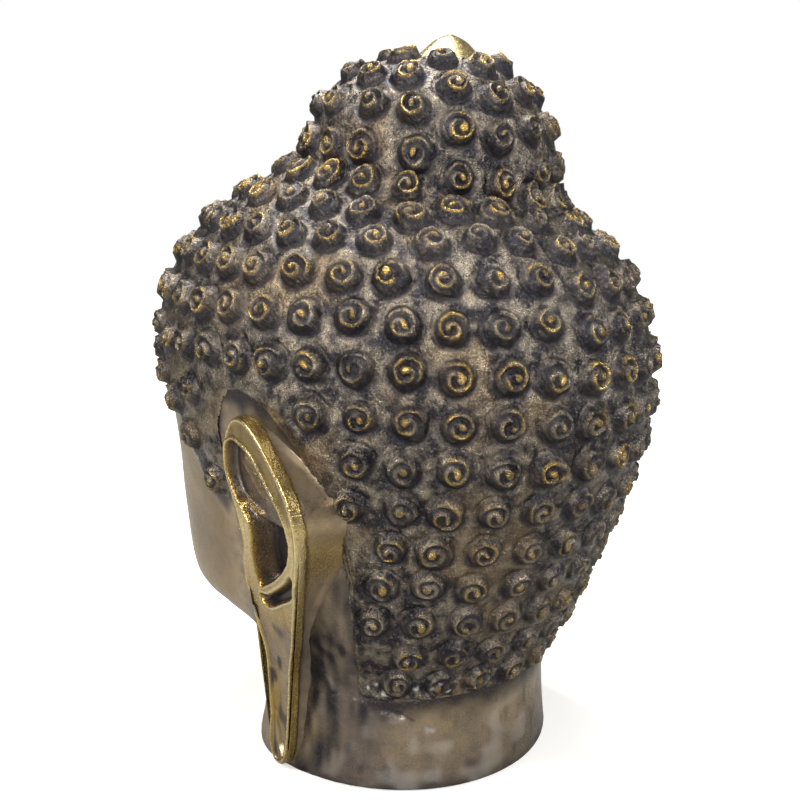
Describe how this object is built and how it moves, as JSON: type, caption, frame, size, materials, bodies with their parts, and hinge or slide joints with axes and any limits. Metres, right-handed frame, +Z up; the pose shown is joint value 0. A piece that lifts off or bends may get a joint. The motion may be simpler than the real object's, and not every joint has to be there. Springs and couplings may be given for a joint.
{
  "type": "bronze buddha head",
  "caption": "Cast bronze buddha head with snail-shell curls, a bun on the crown and long ear lobes, cut flat at the neck to stand by itself.",
  "frame": {"origin": "centre of the neck's flat cut, which the head stands on", "axes": "+Z up from the cut to the jewel on the bun, -Y the way the face looks, +X to the head's own left ear"},
  "size_m": [0.2076, 0.2372, 0.3],
  "materials": {
    "patinated_bronze": "dark brown patinated cast bronze, rubbed to golden metal on raised edges"
  },
  "bodies": {
    "root": {"buddha_head": "patinated_bronze"}
  },
  "joints": []
}
